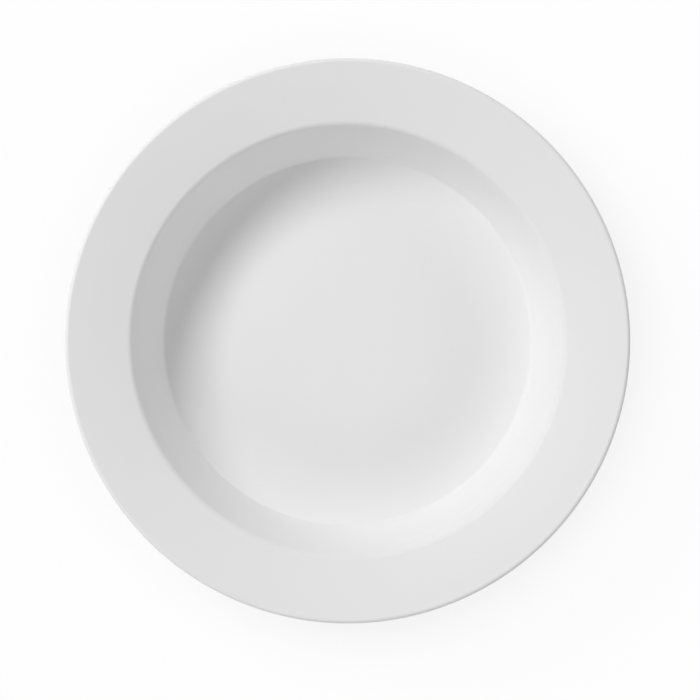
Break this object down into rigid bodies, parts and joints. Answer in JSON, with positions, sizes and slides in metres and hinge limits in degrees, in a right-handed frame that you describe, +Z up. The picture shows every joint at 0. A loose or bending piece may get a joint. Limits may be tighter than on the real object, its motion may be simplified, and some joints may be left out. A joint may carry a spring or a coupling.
{
  "type": "soup plate",
  "caption": "Round white porcelain soup plate with a raised rim, a steep-walled well and an unglazed foot ring, for serving and eating soup.",
  "frame": {"origin": "on the plate's axis, at the standing face of the foot ring", "axes": "+Z up along the plate's axis, out of the well; the plate is round, so X and Y are free"},
  "size_m": [0.23, 0.23, 0.0451],
  "materials": {
    "bare_porcelain": "matte",
    "white_glaze": "satin"
  },
  "bodies": {
    "root": {"porcelain_body": "bare_porcelain", "glaze_coat": "white_glaze", "base_glaze": "white_glaze"}
  },
  "joints": []
}
